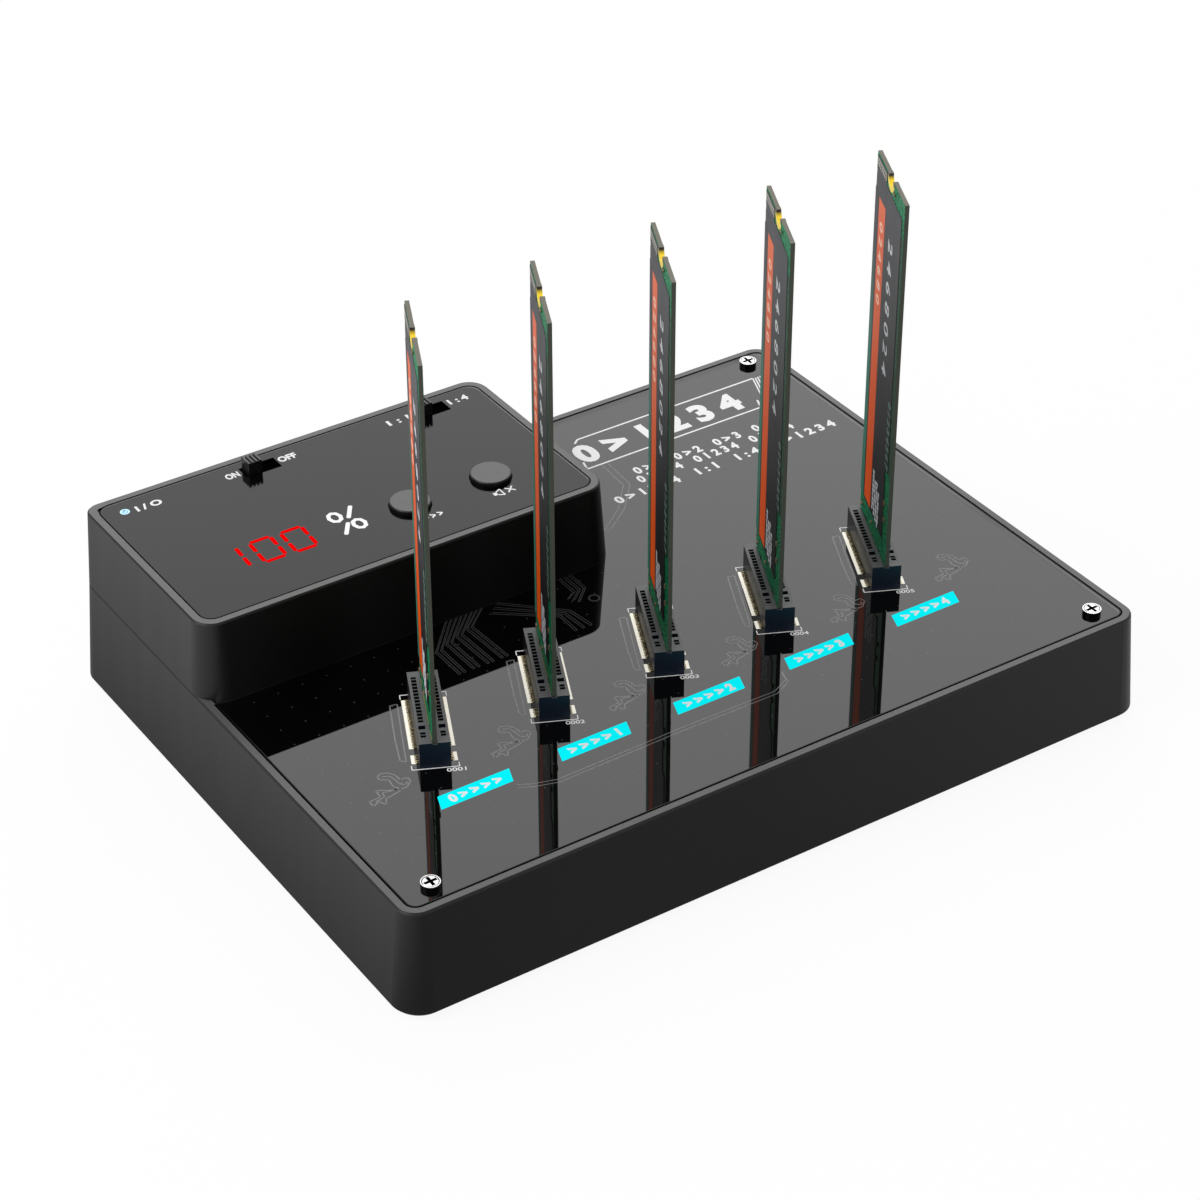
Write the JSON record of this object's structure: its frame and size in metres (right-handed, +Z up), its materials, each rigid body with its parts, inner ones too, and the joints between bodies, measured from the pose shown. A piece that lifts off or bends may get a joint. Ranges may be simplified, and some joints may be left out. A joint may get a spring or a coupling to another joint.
{
  "type": "drive duplicator",
  "caption": "Desktop drive duplicator: tray with a glossy board deck, upright drive cards in slanted sockets, and a raised control housing with switches, buttons and a display.",
  "frame": {"origin": "on the table under the middle of the base tray", "axes": "+X to the right along the front, +Y to the back, +Z up"},
  "size_m": [0.1642, 0.1256, 0.1044],
  "materials": {
    "housing_black": "fine satin moulding",
    "foot_rubber": "matt",
    "board_black": "glossy black solder mask",
    "panel_black": "glossy smoked acrylic",
    "screw_steel": "plated",
    "screw_black": "black oxide",
    "control_green": "solder mask",
    "display_grey": "matt",
    "light_blue": "clear",
    "buzzer_black": "matt",
    "link_black": "matt",
    "switch_metal": "plated sheet",
    "knob_black": "satin",
    "button_black": "satin",
    "plunger_black": "matt",
    "tact_black": "matt",
    "port_steel": "plated",
    "port_tongue": "matt",
    "jack_black": "matt",
    "jack_pin": "plated",
    "chip_black": "matt epoxy",
    "capacitor_can": "sleeved can",
    "socket_black": "satin",
    "contact_gold": "gold flashed, tinned tails",
    "card_green": "solder mask",
    "card_label": "printed film",
    "card_gold": "gold plated"
  },
  "bodies": {
    "chassis": {"base_shell": "housing_black", "rubber_feet": "foot_rubber", "main_board": "board_black", "board_screws": "screw_steel", "pod_cover": "housing_black", "pod_screws": "screw_black", "control_panel": "panel_black", "control_board": "control_green", "control_board_screws": "screw_steel", "display_module": "display_grey", "power_led": "light_blue", "buzzer": "buzzer_black", "board_link_header": "link_black", "board_link_socket": "link_black", "power_switch_body": "switch_metal", "mode_switch_body": "switch_metal", "tact_switch_bodies": "tact_black", "usb_c_shell": "port_steel", "usb_c_tongue": "port_tongue", "dc_jack": "jack_black", "dc_jack_pin": "jack_pin", "interface_chips": "chip_black", "capacitors": "capacitor_can", "socket_housing_0": "socket_black", "socket_contacts_0": "contact_gold", "socket_housing_1": "socket_black", "socket_contacts_1": "contact_gold", "socket_housing_2": "socket_black", "socket_contacts_2": "contact_gold", "socket_housing_3": "socket_black", "socket_contacts_3": "contact_gold", "socket_housing_4": "socket_black", "socket_contacts_4": "contact_gold"},
    "power_knob": {"power_switch_knob": "knob_black"},
    "mode_knob": {"mode_switch_knob": "knob_black"},
    "start_key": {"start_button": "button_black", "start_tact_plunger": "plunger_black"},
    "mute_key": {"mute_button": "button_black", "mute_tact_plunger": "plunger_black"},
    "card_0": {"ssd_board_0": "card_green", "ssd_label_0": "card_label", "ssd_plating_0": "card_gold"},
    "card_1": {"ssd_board_1": "card_green", "ssd_label_1": "card_label", "ssd_plating_1": "card_gold"},
    "card_2": {"ssd_board_2": "card_green", "ssd_label_2": "card_label", "ssd_plating_2": "card_gold"},
    "card_3": {"ssd_board_3": "card_green", "ssd_label_3": "card_label", "ssd_plating_3": "card_gold"},
    "card_4": {"ssd_board_4": "card_green", "ssd_label_4": "card_label", "ssd_plating_4": "card_gold"}
  },
  "joints": [
    {"name": "power_slide", "type": "slide", "parent": "chassis", "child": "power_knob", "axis": [1, 0, 0], "range_m": [0, 0.0035]},
    {"name": "mode_slide", "type": "slide", "parent": "chassis", "child": "mode_knob", "axis": [1, 0, 0], "range_m": [0, 0.0035]},
    {"name": "start_press", "type": "slide", "parent": "chassis", "child": "start_key", "axis": [0, 0, -1], "range_m": [0, 0.0005], "stiffness_N_per_m": 1500},
    {"name": "mute_press", "type": "slide", "parent": "chassis", "child": "mute_key", "axis": [0, 0, -1], "range_m": [0, 0.0005], "stiffness_N_per_m": 1500},
    {"name": "card_0_pull", "type": "slide", "parent": "chassis", "child": "card_0", "axis": [0, 0, 1], "range_m": [0, 0.01]},
    {"name": "card_1_pull", "type": "slide", "parent": "chassis", "child": "card_1", "axis": [0, 0, 1], "range_m": [0, 0.01]},
    {"name": "card_2_pull", "type": "slide", "parent": "chassis", "child": "card_2", "axis": [0, 0, 1], "range_m": [0, 0.01]},
    {"name": "card_3_pull", "type": "slide", "parent": "chassis", "child": "card_3", "axis": [0, 0, 1], "range_m": [0, 0.01]},
    {"name": "card_4_pull", "type": "slide", "parent": "chassis", "child": "card_4", "axis": [0, 0, 1], "range_m": [0, 0.01]}
  ]
}
